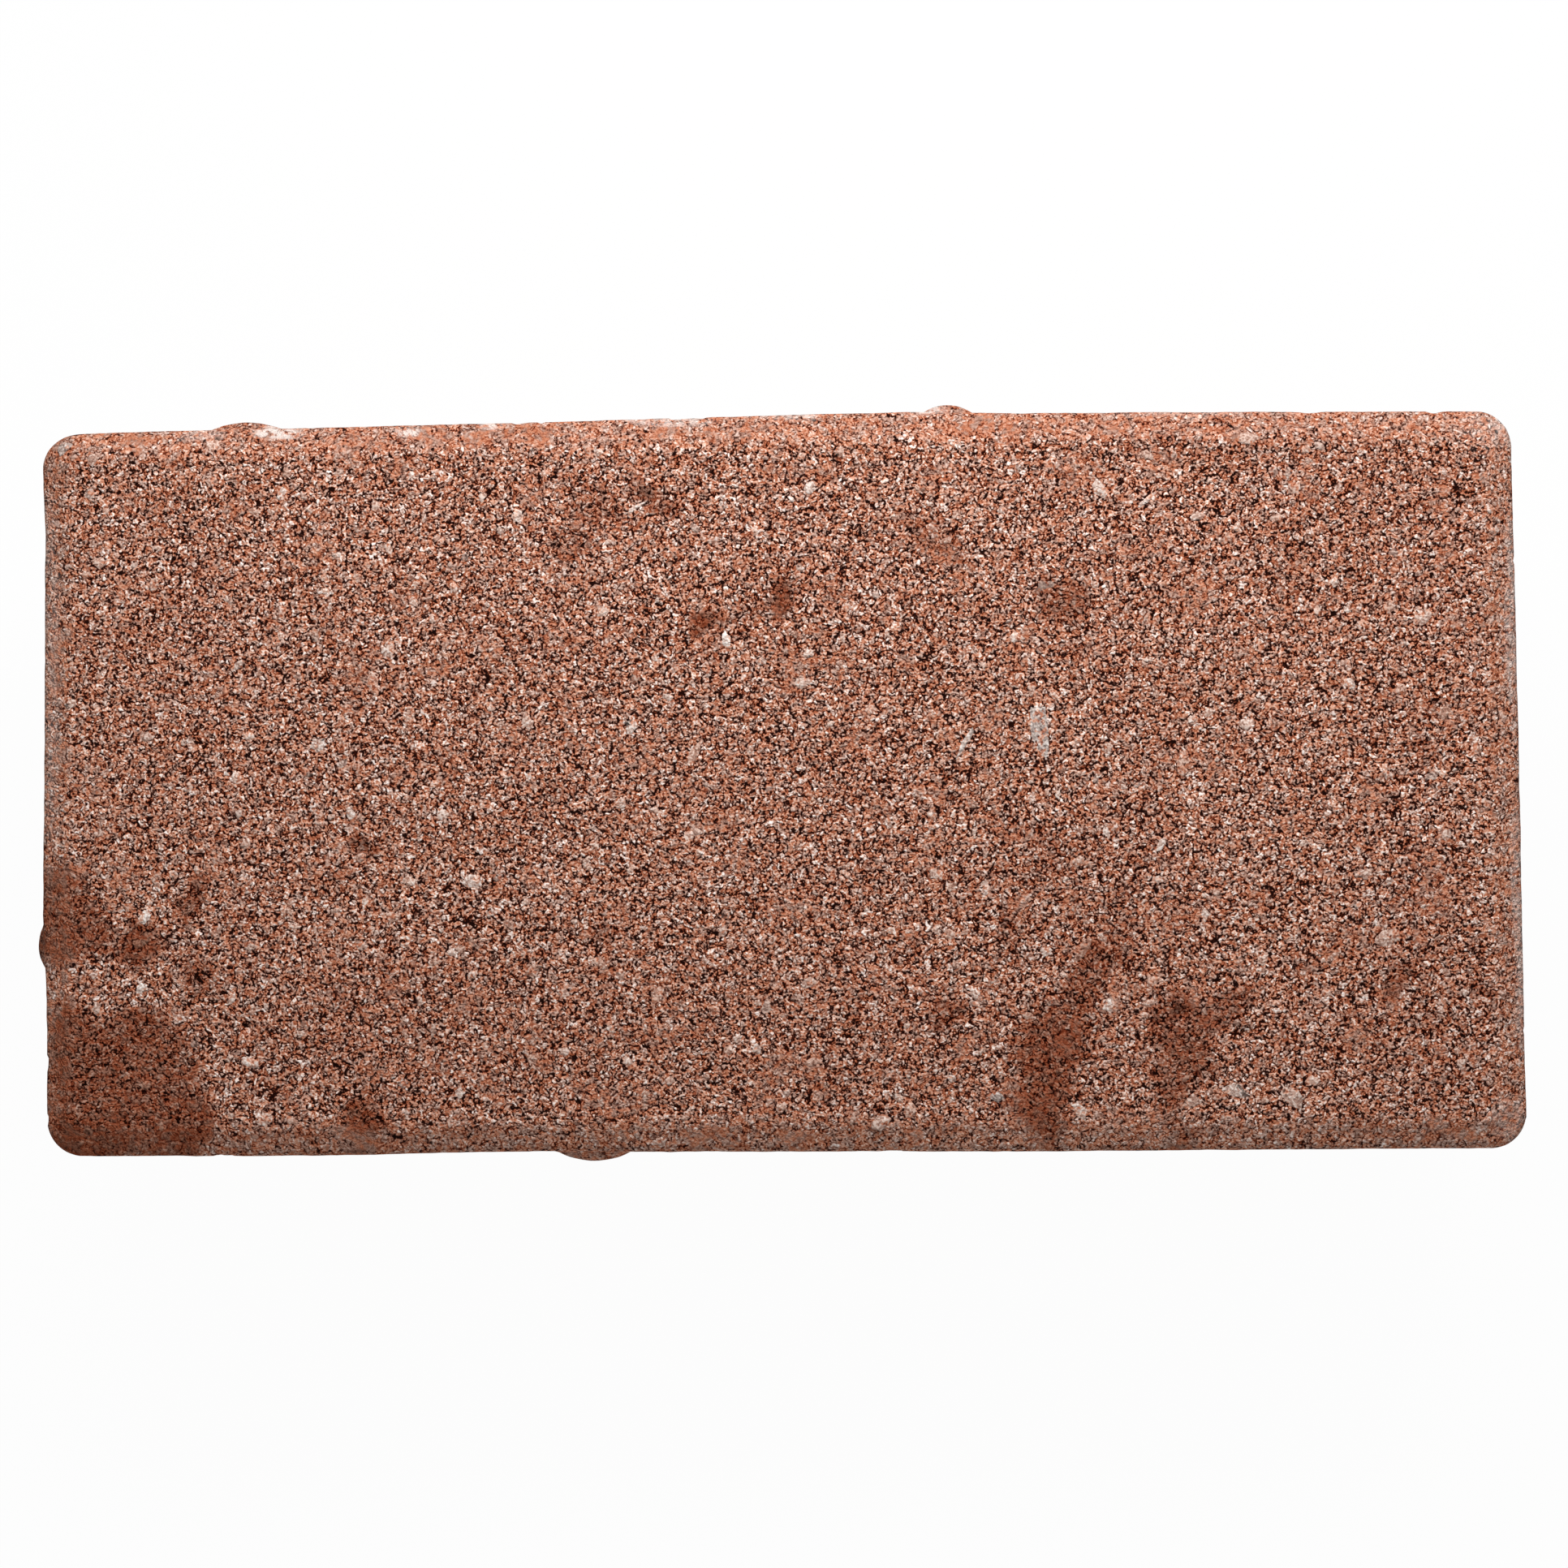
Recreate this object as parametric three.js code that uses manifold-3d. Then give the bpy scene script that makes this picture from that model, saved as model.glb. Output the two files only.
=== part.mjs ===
// Concrete paving stone, plain rectangular pattern for a 200 x 100 mm module.
//
// Millimetres. +X runs along the stone, +Y across it and +Z up to the wearing face.
// North, east, south and west name the four walls as on a map: north is +Y, east is +X.
// The origin is at the middle of the block's bed face, with the nibs not counted.
//
// The stone is pressed in one piece from earth-moist concrete in a straight-walled mould:
// upright walls with rounded corners, a shallow chamfer pressed round the wearing face by
// the tamper shoe, a flat bed face left by the pallet board, and four low upright nibs that
// keep neighbouring stones a joint's width apart.

import * as THREE from 'three';
import { LoftGeometry } from 'three/addons/geometries/LoftGeometry.js';
import { mergeVertices } from 'three/addons/utils/BufferGeometryUtils.js';
import Module from 'manifold-3d';

// Block, over its walls
const BLOCK_LENGTH = 198;
const BLOCK_WIDTH = 98.5;
const BLOCK_HEIGHT = 60;
const CORNER_RADIUS = 5;         // upright corners of the walls
const FACE_CORNER_RADIUS = 1.5;  // corners of the flat wearing face, inside the chamfer

// Chamfer round the wearing face
const CHAMFER_WIDTH = 4;
const CHAMFER_DROP = 2;
const ARRIS_EASING = 1;          // how far from each edge of the chamfer its rounding starts

// Spacer nibs, all alike
const NIB_WIDTH = 8;             // across the foot, where the nib leaves its wall
const NIB_PROUD = 2.3;           // how far the crest stands out of the wall
const NIB_HEAD_DROP = 3;         // from the wearing face down to the nib's head
const NIB_HEAD_RISE = 3;         // height over which the head rounds into the wall
const NIB_HEAD_BITE = 0.6;       // how far that rounding runs on inside the wall

// Places of the nibs, each measured along its own wall
const NORTH_NIB_FROM_WEST = 26.5;
const NORTH_NIB_PITCH = 96;      // from the first north nib to the second
const SOUTH_NIB_FROM_WEST = 73.5;
const WEST_NIB_FROM_SOUTH = 28.25;

// Depth below the bed face to which the block and the nibs' posts are made before the bed
// is struck off level
const STRIKE_OFF = 10;

// Facets
const CORNER_STEPS = 12;
const EASING_STEPS = 3;
const NIB_HEAD_STEPS = 5;
const NIB_POST_STEPS = 96;

// Turns a lathe's axis, +Y, upright
const UPRIGHT = new THREE.Matrix4().makeBasis(
  new THREE.Vector3(1, 0, 0),
  new THREE.Vector3(0, 0, 1),
  new THREE.Vector3(0, -1, 0),
);

// Outward directions of the walls that carry nibs
const NORTH = new THREE.Vector2(0, 1);
const SOUTH = new THREE.Vector2(0, -1);
const WEST = new THREE.Vector2(-1, 0);

const northWall = BLOCK_WIDTH / 2;
const southWall = -BLOCK_WIDTH / 2;
const westWall = -BLOCK_LENGTH / 2;

const manifold = await Module();
manifold.setup();

// Section through wall and chamfer. x is how far the outline is drawn in, y is the height.
function edgeSection() {
  const foot = new THREE.Vector2(0, BLOCK_HEIGHT - CHAMFER_DROP);
  const crest = new THREE.Vector2(CHAMFER_WIDTH, BLOCK_HEIGHT);
  const upSlope = crest.clone().sub(foot).setLength(ARRIS_EASING);
  const section = new THREE.Path();
  section.moveTo(0, -STRIKE_OFF);
  section.lineTo(foot.x, foot.y - ARRIS_EASING);
  section.quadraticCurveTo(foot.x, foot.y, foot.x + upSlope.x, foot.y + upSlope.y);
  section.lineTo(crest.x - upSlope.x, crest.y - upSlope.y);
  section.quadraticCurveTo(crest.x, crest.y, crest.x + ARRIS_EASING, crest.y);
  return section.getPoints(EASING_STEPS);
}

// Rounded rectangle of the block at one height, drawn in from the walls by inset.
function blockOutline(inset, height) {
  const drawnIn = inset / (CHAMFER_WIDTH + ARRIS_EASING);
  const radius = THREE.MathUtils.lerp(CORNER_RADIUS, FACE_CORNER_RADIUS, drawnIn);
  const x = BLOCK_LENGTH / 2 - inset - radius;
  const y = BLOCK_WIDTH / 2 - inset - radius;
  const quarter = Math.PI / 2;
  const outline = new THREE.Shape();
  outline.absarc(x, y, radius, 0, quarter);
  outline.absarc(-x, y, radius, quarter, 2 * quarter);
  outline.absarc(-x, -y, radius, 2 * quarter, 3 * quarter);
  outline.absarc(x, -y, radius, 3 * quarter, 4 * quarter);
  return outline.getPoints(CORNER_STEPS).map((p) => new THREE.Vector3(p.x, p.y, height));
}

// The block is lofted up its walls and over the chamfer.
function blockGeometry() {
  const outlines = edgeSection().map((p) => blockOutline(p.x, p.y));
  return new LoftGeometry(outlines, { capStart: true, capEnd: true });
}

// A nib is the part of an upright round post that stands out of its wall. The post's head is
// rounded, so the nib runs out into the wall just under the chamfer.
function nibGeometry(x, y, outward) {
  const radius = (NIB_WIDTH ** 2 / 4 + NIB_PROUD ** 2) / (2 * NIB_PROUD);
  const sunk = radius - NIB_PROUD;
  const head = BLOCK_HEIGHT - NIB_HEAD_DROP;
  const profile = new THREE.Path();
  profile.moveTo(0, -STRIKE_OFF);
  profile.lineTo(radius, -STRIKE_OFF);
  profile.lineTo(radius, head - NIB_HEAD_RISE);
  profile.quadraticCurveTo(radius, head, sunk - NIB_HEAD_BITE, head);
  profile.lineTo(0, head);
  const post = new THREE.LatheGeometry(profile.getPoints(NIB_HEAD_STEPS), NIB_POST_STEPS);
  return post.applyMatrix4(UPRIGHT).translate(x - outward.x * sunk, y - outward.y * sunk, 0);
}

// Everything below the bed face, with room to spare on all sides.
function groundGeometry() {
  const ground = new THREE.BoxGeometry(2 * BLOCK_LENGTH, 2 * BLOCK_WIDTH, 2 * STRIKE_OFF);
  return ground.translate(0, 0, -STRIKE_OFF);
}

function solidFrom(geometry) {
  const surface = new THREE.BufferGeometry().copy(geometry);
  surface.deleteAttribute('normal');
  surface.deleteAttribute('uv');
  const merged = mergeVertices(surface);
  return new manifold.Manifold(new manifold.Mesh({
    numProp: 3,
    vertProperties: merged.getAttribute('position').array,
    triVerts: new Uint32Array(merged.getIndex().array),
  }));
}

function geometryFrom(solid) {
  const { vertProperties, triVerts } = solid.getMesh();
  const geometry = new THREE.BufferGeometry();
  geometry.setAttribute('position', new THREE.BufferAttribute(vertProperties, 3));
  geometry.setIndex(new THREE.BufferAttribute(triVerts, 1));
  geometry.computeVertexNormals();
  return geometry;
}

function pavingStone() {
  const nibs = [
    nibGeometry(westWall + NORTH_NIB_FROM_WEST, northWall, NORTH),
    nibGeometry(westWall + NORTH_NIB_FROM_WEST + NORTH_NIB_PITCH, northWall, NORTH),
    nibGeometry(westWall + SOUTH_NIB_FROM_WEST, southWall, SOUTH),
    nibGeometry(westWall, southWall + WEST_NIB_FROM_SOUTH, WEST),
  ];
  const pressed = nibs.reduce((whole, nib) => whole.add(solidFrom(nib)), solidFrom(blockGeometry()));
  const stone = pressed.subtract(solidFrom(groundGeometry()));
  const redConcrete = new THREE.MeshStandardMaterial({
    name: 'red_concrete',
    color: 0x966b5a,
    roughness: 0.95,
    metalness: 0,
  });
  const mesh = new THREE.Mesh(geometryFrom(stone), redConcrete);
  mesh.name = 'paving_stone';
  return mesh;
}

const model = new THREE.Group();
model.add(pavingStone());

export default model;
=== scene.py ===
"""Concrete paving stone: one pressed block of red concrete, lying on a pale floor.

The frame's solid gives the block's box. The cast surface is worked out here with numpy, in
millimetres, and goes into Blender in metres. +X runs along the stone, +Y across it, +Z up.
North, east, south and west name the walls as on a map: north is +Y and east is +X.
"""

import math

import bpy
import numpy as np
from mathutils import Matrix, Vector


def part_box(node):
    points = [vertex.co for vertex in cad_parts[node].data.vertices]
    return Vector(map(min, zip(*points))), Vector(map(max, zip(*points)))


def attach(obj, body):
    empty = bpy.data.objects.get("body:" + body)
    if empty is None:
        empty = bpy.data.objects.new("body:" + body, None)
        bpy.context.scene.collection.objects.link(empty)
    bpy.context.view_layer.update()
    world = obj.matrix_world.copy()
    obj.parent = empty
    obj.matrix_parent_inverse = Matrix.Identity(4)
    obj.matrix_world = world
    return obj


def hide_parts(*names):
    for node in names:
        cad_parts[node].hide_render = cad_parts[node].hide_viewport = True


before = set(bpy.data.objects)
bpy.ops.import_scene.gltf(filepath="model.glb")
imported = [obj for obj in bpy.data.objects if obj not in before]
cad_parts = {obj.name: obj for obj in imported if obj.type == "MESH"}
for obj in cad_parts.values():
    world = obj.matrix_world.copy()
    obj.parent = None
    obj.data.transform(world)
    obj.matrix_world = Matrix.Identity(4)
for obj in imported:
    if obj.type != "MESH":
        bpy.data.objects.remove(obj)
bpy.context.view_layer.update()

MM = 0.001
NODE = "paving_stone"

# -------- driving sizes, millimetres

NIB_PROUD = 2.3             # crest of an unworn spacer nib out of its wall
NIB_HEAD_DROP = 2.8         # wearing face down to a nib's head
NIB_HEAD_RISE = 2.4         # height over which the head rounds into the wall
NIB_HEAD_BITE = 1.3         # how far it draws back over that height, in crests

CORNER_RADIUS = 5.0         # upright corners of the walls
FACE_CORNER_RADIUS = 1.5    # corners of the flat wearing face
CHAMFER_WIDTH = 4.0
CHAMFER_DROP = 2.0
ARRIS_EASING = 1.0          # rounding at each edge of the chamfer
BED_EASING = 0.9            # rounding of the bottom edge, where the fresh concrete slumps

box_low, box_high = (np.array(corner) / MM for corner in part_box(NODE))
HALF_LENGTH = box_high[0]               # the east wall carries no nib
HALF_WIDTH = box_high[1] - NIB_PROUD
HEIGHT = box_high[2]
FACE_INSET = CHAMFER_WIDTH + ARRIS_EASING
BED_INSET = 5.0                         # where the underside's own grid starts
BOX_MARGIN = 0.02                       # kept clear of the frame's box on every side

# Walls, and which way each faces
WALLS = {"north": (0, 1), "south": (0, -1), "east": (1, 0), "west": (-1, 0)}

# Nibs: wall, place along it from the middle, how far the worn crest stands out, width of foot
NIBS = (
    ("north", -71.7, 1.35, 11.0),
    ("north", 23.8, 1.45, 7.5),
    ("south", -24.9, 1.45, 10.5),
    ("west", -20.9, 1.4, 7.5),
)

# How far each wall bows out of true: place along the wall, offset outward
WALL_BOWS = {
    "north": ((-99, -0.6), (-91, -0.4), (-56, -0.15), (-25, 0.15), (-2, 0.45), (18, 0.65),
              (32, 0.25), (51, 0.05), (85, -0.42), (93, -0.5), (99, -0.5)),
    "south": ((-99, -0.2), (-61, 0.0), (-34, -0.42), (-14, -0.25), (37, 0.05), (88, -0.05),
              (99, 0.05)),
    "west": ((-49, -0.45), (-34, -0.45), (-27, -0.3), (-16, 0.1), (10, -0.1), (35, -0.15),
             (44, 0.15), (49, 0.25)),
    "east": ((-49, 0.3), (-40, 0.0), (0, 0.0), (20, -0.1), (44, -0.25), (49, -0.2)),
}
BOW_REACH = 10.0            # how far inside a wall its bow still moves the points

# Mesh counts
FACE_CELLS = (344, 172)     # squares along and across the wearing face
CREST_ROWS, SLOPE_ROWS, FOOT_ROWS = 3, 7, 3
FINE_WALL_ROWS, WALL_ROWS, BED_ROWS = 5, 29, 3
FINE_WALL_HEIGHT = 7.0      # how far below the chamfer the fine rows reach

# Boxes in the bake picture: left, bottom, width, height
FACE_BOX = (0.006, 0.508, 0.988, 0.484)
BED_BOX = (0.752, 0.006, 0.240, 0.484)
STRIP_BOX = (0.006, 0.010, 0.730, 0.222)    # the first strip of the walls
STRIP_PITCH = 0.250                         # up to the second

# Depths of the relief
DIP_DEPTH = 0.08            # broad dips of the face
LUMP_DEPTH = 0.04           # between the highest and the lowest lump
SMALL_LUMP_DEPTH = 0.02
CREVICE_DEPTH = 0.06
SMALL_CREVICE_DEPTH = 0.04
OPEN_DEPTH = 0.08           # where the face did not close
DRAG_DEPTH = 0.05           # the mould's marks on the walls
WALL_DIMPLE_DEPTH = 0.35
LOST_EDGE_DEPTH = 0.5       # crumbs lost along the bottom edge
BOARD_DEPTH = 0.06          # the board's print in the underside
BED_DIMPLE_DEPTH = 0.4
BED_CLEARANCE = 0.05        # the underside's lowest skin over the floor
CHAMFER_CALM = 0.65         # share of the face's relief that the chamfer loses

# Pits where the paste did not close: x, y, radius, depth
PITS = (
    (-55, -8.3, 0.9, 0.7), (53.6, -31.2, 1.1, 0.9), (-96.2, 43.8, 0.8, 0.6),
    (-16.8, 38.4, 1.2, 0.8), (62, -33.8, 1, 0.8), (-70.8, -31.9, 0.9, 0.7),
    (96.4, -33.8, 0.9, 0.6), (12, 41.5, 0.9, 0.7), (-89, 12, 0.8, 0.6),
)

# Damp stains, ending with broad weak patches: x, y, half length, half width, strength and, where
# it is turned, its degrees
STAINS = (
    (-89, -40, 10.5, 10, 0.88), (-83, -39.5, 7.5, 8, 0.84), (-81.5, -46, 6, 4, 1),
    (-77.5, -44, 3, 4.5, 0.9, 15), (-92, -46.5, 8, 3.6, 1), (-85, -32, 4.5, 3.2, 0.85, -20),
    (-94, -33, 5, 4.5, 0.9), (-96, -16.5, 4.6, 6.6, 0.8, -8), (-94, -19, 4.8, 4, 0.84),
    (-85.2, -20.9, 4.2, 3.2, 1, 10), (-90, -20.3, 3, 2, 0.5), (-77.5, -14.8, 2.1, 3.4, 0.85, -15),
    (-76.5, -25.2, 2.7, 3, 0.6), (-79, -21.2, 2.5, 1.5, 0.3), (-55.5, -44.2, 3.2, 3.1, 1, -20),
    (-54.5, -41.3, 1.6, 2, 0.6), (-54.4, -7.6, 2.2, 1.5, 0.85, 10), (-59.9, -13, 1.8, 1.8, 0.3),
    (-28.9, -0.4, 1.6, 1.3, 0.6), (-22.3, -20.3, 2.3, 1.4, 0.55, -20),
    (-20.8, -34.8, 1.6, 1.6, 0.4), (22, -31.2, 3.1, 2.1, 0.8, 10), (9.6, -30.1, 1.8, 1.5, 0.3),
    (36.2, -38.4, 4.4, 9, 0.92), (42, -26, 7, 2.8, 0.84, 62), (46.2, -20.6, 4, 2.4, 0.45, 30),
    (31.3, -40.3, 2.6, 3, 0.45), (54, -34.2, 4.4, 6.2, 0.84), (51.5, -40.6, 2.8, 5, 0.78),
    (59.5, -31, 3.6, 2.8, 0.68, 40), (54.1, -47.7, 1.8, 2, 0.5), (35.3, -46.4, 2.4, 3, 0.5),
    (82.8, -27.3, 2.3, 1.8, 0.75), (71, -25.4, 1.5, 1.5, 0.25), (93.7, -28.8, 1.6, 2.6, 0.45),
    (77.7, -45.9, 4, 1.8, 0.25), (-96, 45.5, 4, 3, 0.25), (39.3, 24.1, 3.4, 3.2, 0.72),
    (36.8, 22.2, 1.8, 1.4, 0.35), (1.5, 24.3, 2.6, 2.5, 1), (3, 27.5, 1.4, 2.4, 0.3, -20),
    (-9.4, 21.2, 2.9, 1.9, 1, 10), (-3.9, 22.7, 3, 1.2, 0.5, 20),
    (-15.7, 38.2, 4.4, 1.7, 0.78, -28), (-23.7, 37.8, 4, 2.6, 0.5), (-26.7, 33.2, 2.2, 2.4, 0.45),
    (-34, 18.4, 2, 1.5, 0.3), (-81.4, 13.5, 1.8, 1.5, 0.3), (-64.6, 16.3, 2, 1.5, 0.2),
    (-56.1, 14.8, 1.4, 1, 0.25), (22.5, 32.5, 6.5, 1.7, 0.42, -42), (50.3, 0.2, 1.3, 1.8, 0.3),
    (65.2, 6, 1.5, 1.2, 0.35), (86.9, 2.9, 1.8, 1.6, 0.5), (86, 10.7, 1.6, 2.8, 0.25),
    (69.5, 29.7, 3.5, 1.6, 0.28, 10), (67.5, 26.2, 1.6, 1.4, 0.3), (76.9, 25.7, 1.6, 1.6, 0.3),
    (63.7, 40.7, 2.4, 1.3, 0.28), (14.2, 5.5, 1.3, 1, 0.25), (36.4, -11.1, 5, 1.6, 0.35, 15),
    # Broad weak patches: they darken most of the south half, a strip along the north edge and the
    # north-east as a whole
    (-48, -33, 26, 11, 0.14), (84, -28, 13, 18, 0.1), (42, -14, 16, 8, 0.14),
    (44, -36, 18, 12, 0.1), (-55, -47.5, 22, 3, 0.22), (-8, -36, 42, 12, 0.1),
    (-10, 48.4, 86, 2.6, 0.16), (62, 46.8, 34, 4.4, 0.22), (80, 33, 18, 12, 0.1),
    (31.3, -19.8, 1.4, 3.6, 0.45, -15), (4.8, -22.8, 2.6, 1.4, 0.3, 10),
    (-58.3, -28.2, 1.5, 1.2, 0.4),
)
STAIN_WANDER = 2.2          # how far the edges of the stains wander
STAIN_RUN = 34.0            # how far down the walls the damp runs, about

# Lime bloom, in the same way
BLOOMS = (
    (-67, 48.3, 3.2, 0.9, 0.95), (-48.9, 48.4, 1.6, 0.8, 0.8), (-37.8, 48.7, 1.3, 0.7, 0.8),
    (-77, 48.3, 3, 0.8, 0.2), (21, 49.9, 3, 0.9, 0.8), (-14, 48.7, 6, 0.7, 0.5),
    (3, 48.8, 3, 0.6, 0.5), (98.2, 46.8, 1.5, 3.4, 0.42, 35), (96, 47, 4, 4, 0.1, 20),
    (55, 48.8, 10, 0.7, 0.12), (-100, -24.5, 0.9, 2, 0.6), (98.3, 20, 0.8, 14, 0.35),
    (98.3, -20, 0.8, 16, 0.3), (-98, 16, 1.6, 24, 0.14), (96.5, -45.5, 2.6, 3, 0.2),
)
BLOOM_WANDER = 0.6
BLOOM_RUN = 12.0

# Kinds of stone: tone, greyness
PALE, PINK, GREY = (0.67, 0.40), (0.50, 0.0), (0.57, 0.20)
QUARTZ, SLATE, SILVER = (0.81, 0.5), (0.55, 0.9), (0.63, 0.8)

# Stones showing in the face: x, y, half length, half width, turn in degrees, kind
STONES = (
    (35.6, 6.6, 4.1, 1.3, 94, SLATE), (25.7, 5.4, 3.2, 0.5, 61, SILVER),
    (-34.1, 36.4, 1.5, 1, 95, PALE), (-61.1, 5.9, 1.4, 1, 30, PALE),
    (-93, 7.3, 1.1, 0.8, 80, PALE), (-84.5, 7.2, 1.2, 0.8, 10, GREY),
    (-44.2, 19.2, 1.2, 0.8, 40, PINK), (-32.9, 8.6, 1.3, 0.9, 120, GREY),
    (-19, 7.9, 1.5, 1.1, 80, PALE), (-10.6, 3.8, 2.2, 0.8, 62, PINK),
    (-22.8, 23.3, 1.2, 0.9, 0, GREY), (-6.1, 19.2, 1.3, 0.7, 100, QUARTZ),
    (5.1, 39.4, 1.2, 0.9, 50, PALE), (20, 39.2, 1, 0.8, 0, PINK), (43.9, 38.9, 1.6, 1, 120, PALE),
    (56.7, 34.8, 1.2, 0.8, 20, GREY), (69.6, 38.6, 1.4, 1, 60, PINK),
    (63.7, 45.4, 1.6, 1.1, 0, GREY), (-40.5, -12.7, 1.6, 1.2, 10, PALE),
    (-15.8, -28.3, 1.5, 0.9, 60, PINK), (4.5, -26.6, 1.3, 0.8, 15, GREY),
    (27.9, -14, 1.4, 0.75, 100, PALE), (21.5, -12.4, 1.2, 0.8, 150, GREY),
    (40.7, -22.6, 2, 0.8, 58, PINK), (44.5, -29.8, 1.5, 1, 60, PALE),
    (80.9, -21.3, 1.8, 1.4, 10, GREY), (86.3, 21.1, 1.5, 1.2, 60, GREY),
    (81.9, 22.6, 1.3, 1, 90, PINK), (78, -13, 1.3, 1, 0, GREY), (57.2, -17.8, 1.3, 0.9, 60, PALE),
    (60.8, -41.3, 2, 1.2, 168, PALE), (55, -42.7, 1.4, 1, 10, GREY),
    (40.1, -43.8, 1.4, 0.9, 140, PALE), (13.8, -45, 1.5, 1, 20, GREY),
    (17.8, -43.6, 1.2, 0.9, 70, PINK), (68.2, -42.1, 2.2, 1.3, -55, GREY),
    (54.3, 2.1, 2, 0.9, 85, PINK), (62.7, 7, 1.3, 0.9, 0, GREY), (12.8, 9.5, 1.4, 1, 30, PINK),
    (51.4, -8.6, 1.2, 0.6, 60, PALE), (44.2, -7.2, 1.2, 0.55, 100, PALE),
    (-48.7, 9.3, 1.8, 0.8, 85, PINK), (-53.6, 13.8, 1.8, 0.9, 95, PINK),
    (-51.6, 18.6, 1.3, 1.1, 0, GREY), (-32.2, -24.7, 1.3, 1, 40, PINK),
    (-28.3, -27.6, 1.1, 0.8, 10, GREY), (-23.3, -23.8, 1.4, 0.8, 150, PINK),
    (-84.9, -26.6, 1.3, 0.8, 30, QUARTZ), (-84.6, -17.1, 1.2, 0.8, 60, QUARTZ),
    (-96, 46.5, 1.25, 0.8, 25, SILVER), (-83.3, 27.8, 1.2, 0.75, 75, GREY),
    (-65.9, 39.8, 1.2, 0.7, 60, PALE), (-69.6, 37.4, 0.9, 0.6, 10, PINK),
    (-20.2, -2.3, 1.2, 0.9, 30, GREY), (-18.3, 37.1, 1.6, 0.35, 30, PALE),
    (50.1, 37.2, 2.2, 0.35, 40, PALE), (-70.2, -20.8, 1.2, 0.9, 0, GREY),
    (-70.3, -36.7, 1.2, 0.8, 155, PALE), (36.4, 25.9, 1.3, 0.9, 10, SLATE),
    (89, 8.3, 1.3, 1, 40, PINK), (88.8, -7.7, 1.2, 0.8, 90, GREY),
    (29.2, -41.9, 1.1, 0.8, 0, SLATE), (4.8, -37.2, 1.3, 0.7, 15, PINK),
    (35.9, -22.7, 0.9, 0.7, 0, PALE), (50, -26.9, 1.3, 0.9, 30, PINK),
    (43.3, -33.9, 1.1, 0.8, 40, PINK), (-68.5, -44.2, 1.5, 0.9, 10, GREY),
    (-65.1, -44.2, 1, 0.75, 0, PINK), (-55.2, -21.2, 1.1, 0.75, 0, GREY),
    (-51.3, -17.4, 1.3, 0.9, 20, PINK), (-72.9, -28.1, 1, 0.5, 60, GREY),
    (-64.2, -18.5, 0.9, 0.5, 0, PINK), (-6.9, -19.6, 1.1, 0.7, 95, GREY),
    (21, -4.4, 0.8, 0.6, 0, GREY), (77.5, -17.1, 0.9, 0.55, 0, SILVER),
)
SMALL_STONES = 900          # scattered over the face and chamfer
STONE_CORNERS = 9
CORNER_SHIFT = 0.35         # how far corners stray round a stone, in corner steps
CORNER_SPREAD = 0.16        # and in or out, in shares of its size
# Rings of a stone from its middle out: share of its plan, drop below its top, painted shade on
# its rim
STONE_RINGS = ((0, 0, 0), (0.80, 0.03, 0), (1, 0.16, 0.25), (1.12, 0.75, 1))
STONE_DROP = 0.025          # from the smooth face down to the highest stones
STONE_DROP_SPREAD = 0.04    # and on down to the lowest
STONE_IN_HOLLOW = 0.15      # share of the relief's depth by which a stone lies lower still
STONE_TILT = 0.02
STONE_ROUGHNESS = 0.01      # unevenness of its top
STONE_CELL = 2.6            # its square in the bake picture, in shares of its reach


# -------- noise


def whole_hash(x, y, z, seed):
    """A number from 0 to 1 for each whole point: the three counts are mixed by odd factors,
    and the bits are shuffled twice."""
    n = (x.astype(np.int64) * 374761393 + y.astype(np.int64) * 668265263
         + z.astype(np.int64) * 1274126177 + seed * 974634777) & 0xFFFFFFFF
    n = ((n ^ (n >> 13)) * 1103515245) & 0xFFFFFFFF
    n = ((n ^ (n >> 15)) * 2246822519) & 0xFFFFFFFF
    return ((n ^ (n >> 16)) & 0xFFFFFF) / float(0xFFFFFF)


def soft_noise(points, size, seed):
    """Value noise from -1 to 1: random values at the corners of cubes of that size, blended
    inside each cube by smoothstep weights."""
    q = points / size
    base = np.floor(q)
    part = q - base
    weight = part * part * (3 - 2 * part)
    total = np.zeros(len(points))
    for corner in np.ndindex(2, 2, 2):
        share = np.ones(len(points))
        for axis, far in enumerate(corner):
            share *= weight[:, axis] if far else 1 - weight[:, axis]
        total += share * whole_hash(*(base + corner).T, seed)
    return 2 * total - 1


def layered_noise(points, size, seed, layers=3):
    """Value noise with finer and weaker layers added, each half the size and half the
    strength of the last."""
    total = np.zeros(len(points))
    strength = 0.0
    for layer in range(layers):
        share = 0.5 ** layer
        total += share * soft_noise(points, size * share, seed + layer)
        strength += share
    return total / strength


def cells(points, size, seed):
    """Grains of about that size: one random centre in each cube. Returns how much further the
    second nearest centre is than the nearest, in shares of the size, and the nearest grain's
    own random number."""
    q = points / size
    base = np.floor(q)
    nearest = np.full(len(points), np.inf)
    second = np.full(len(points), np.inf)
    own = np.zeros(len(points))
    for step in np.ndindex(3, 3, 3):
        cube = base + step - 1
        centre = cube + np.stack([whole_hash(*cube.T, seed + k) for k in range(3)], 1)
        distance = np.linalg.norm(q - centre, axis=1)
        closer = distance < nearest
        second = np.where(closer, nearest, np.minimum(second, distance))
        own = np.where(closer, whole_hash(*cube.T, seed + 3), own)
        nearest = np.where(closer, distance, nearest)
    return second - nearest, own


def smooth_step(start, end, value):
    """0 before start, 1 after end, with level ends between. start may be above end."""
    t = np.clip((value - start) / (end - start), 0, 1)
    return t * t * (3 - 2 * t)


# -------- the block's base surface


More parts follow.
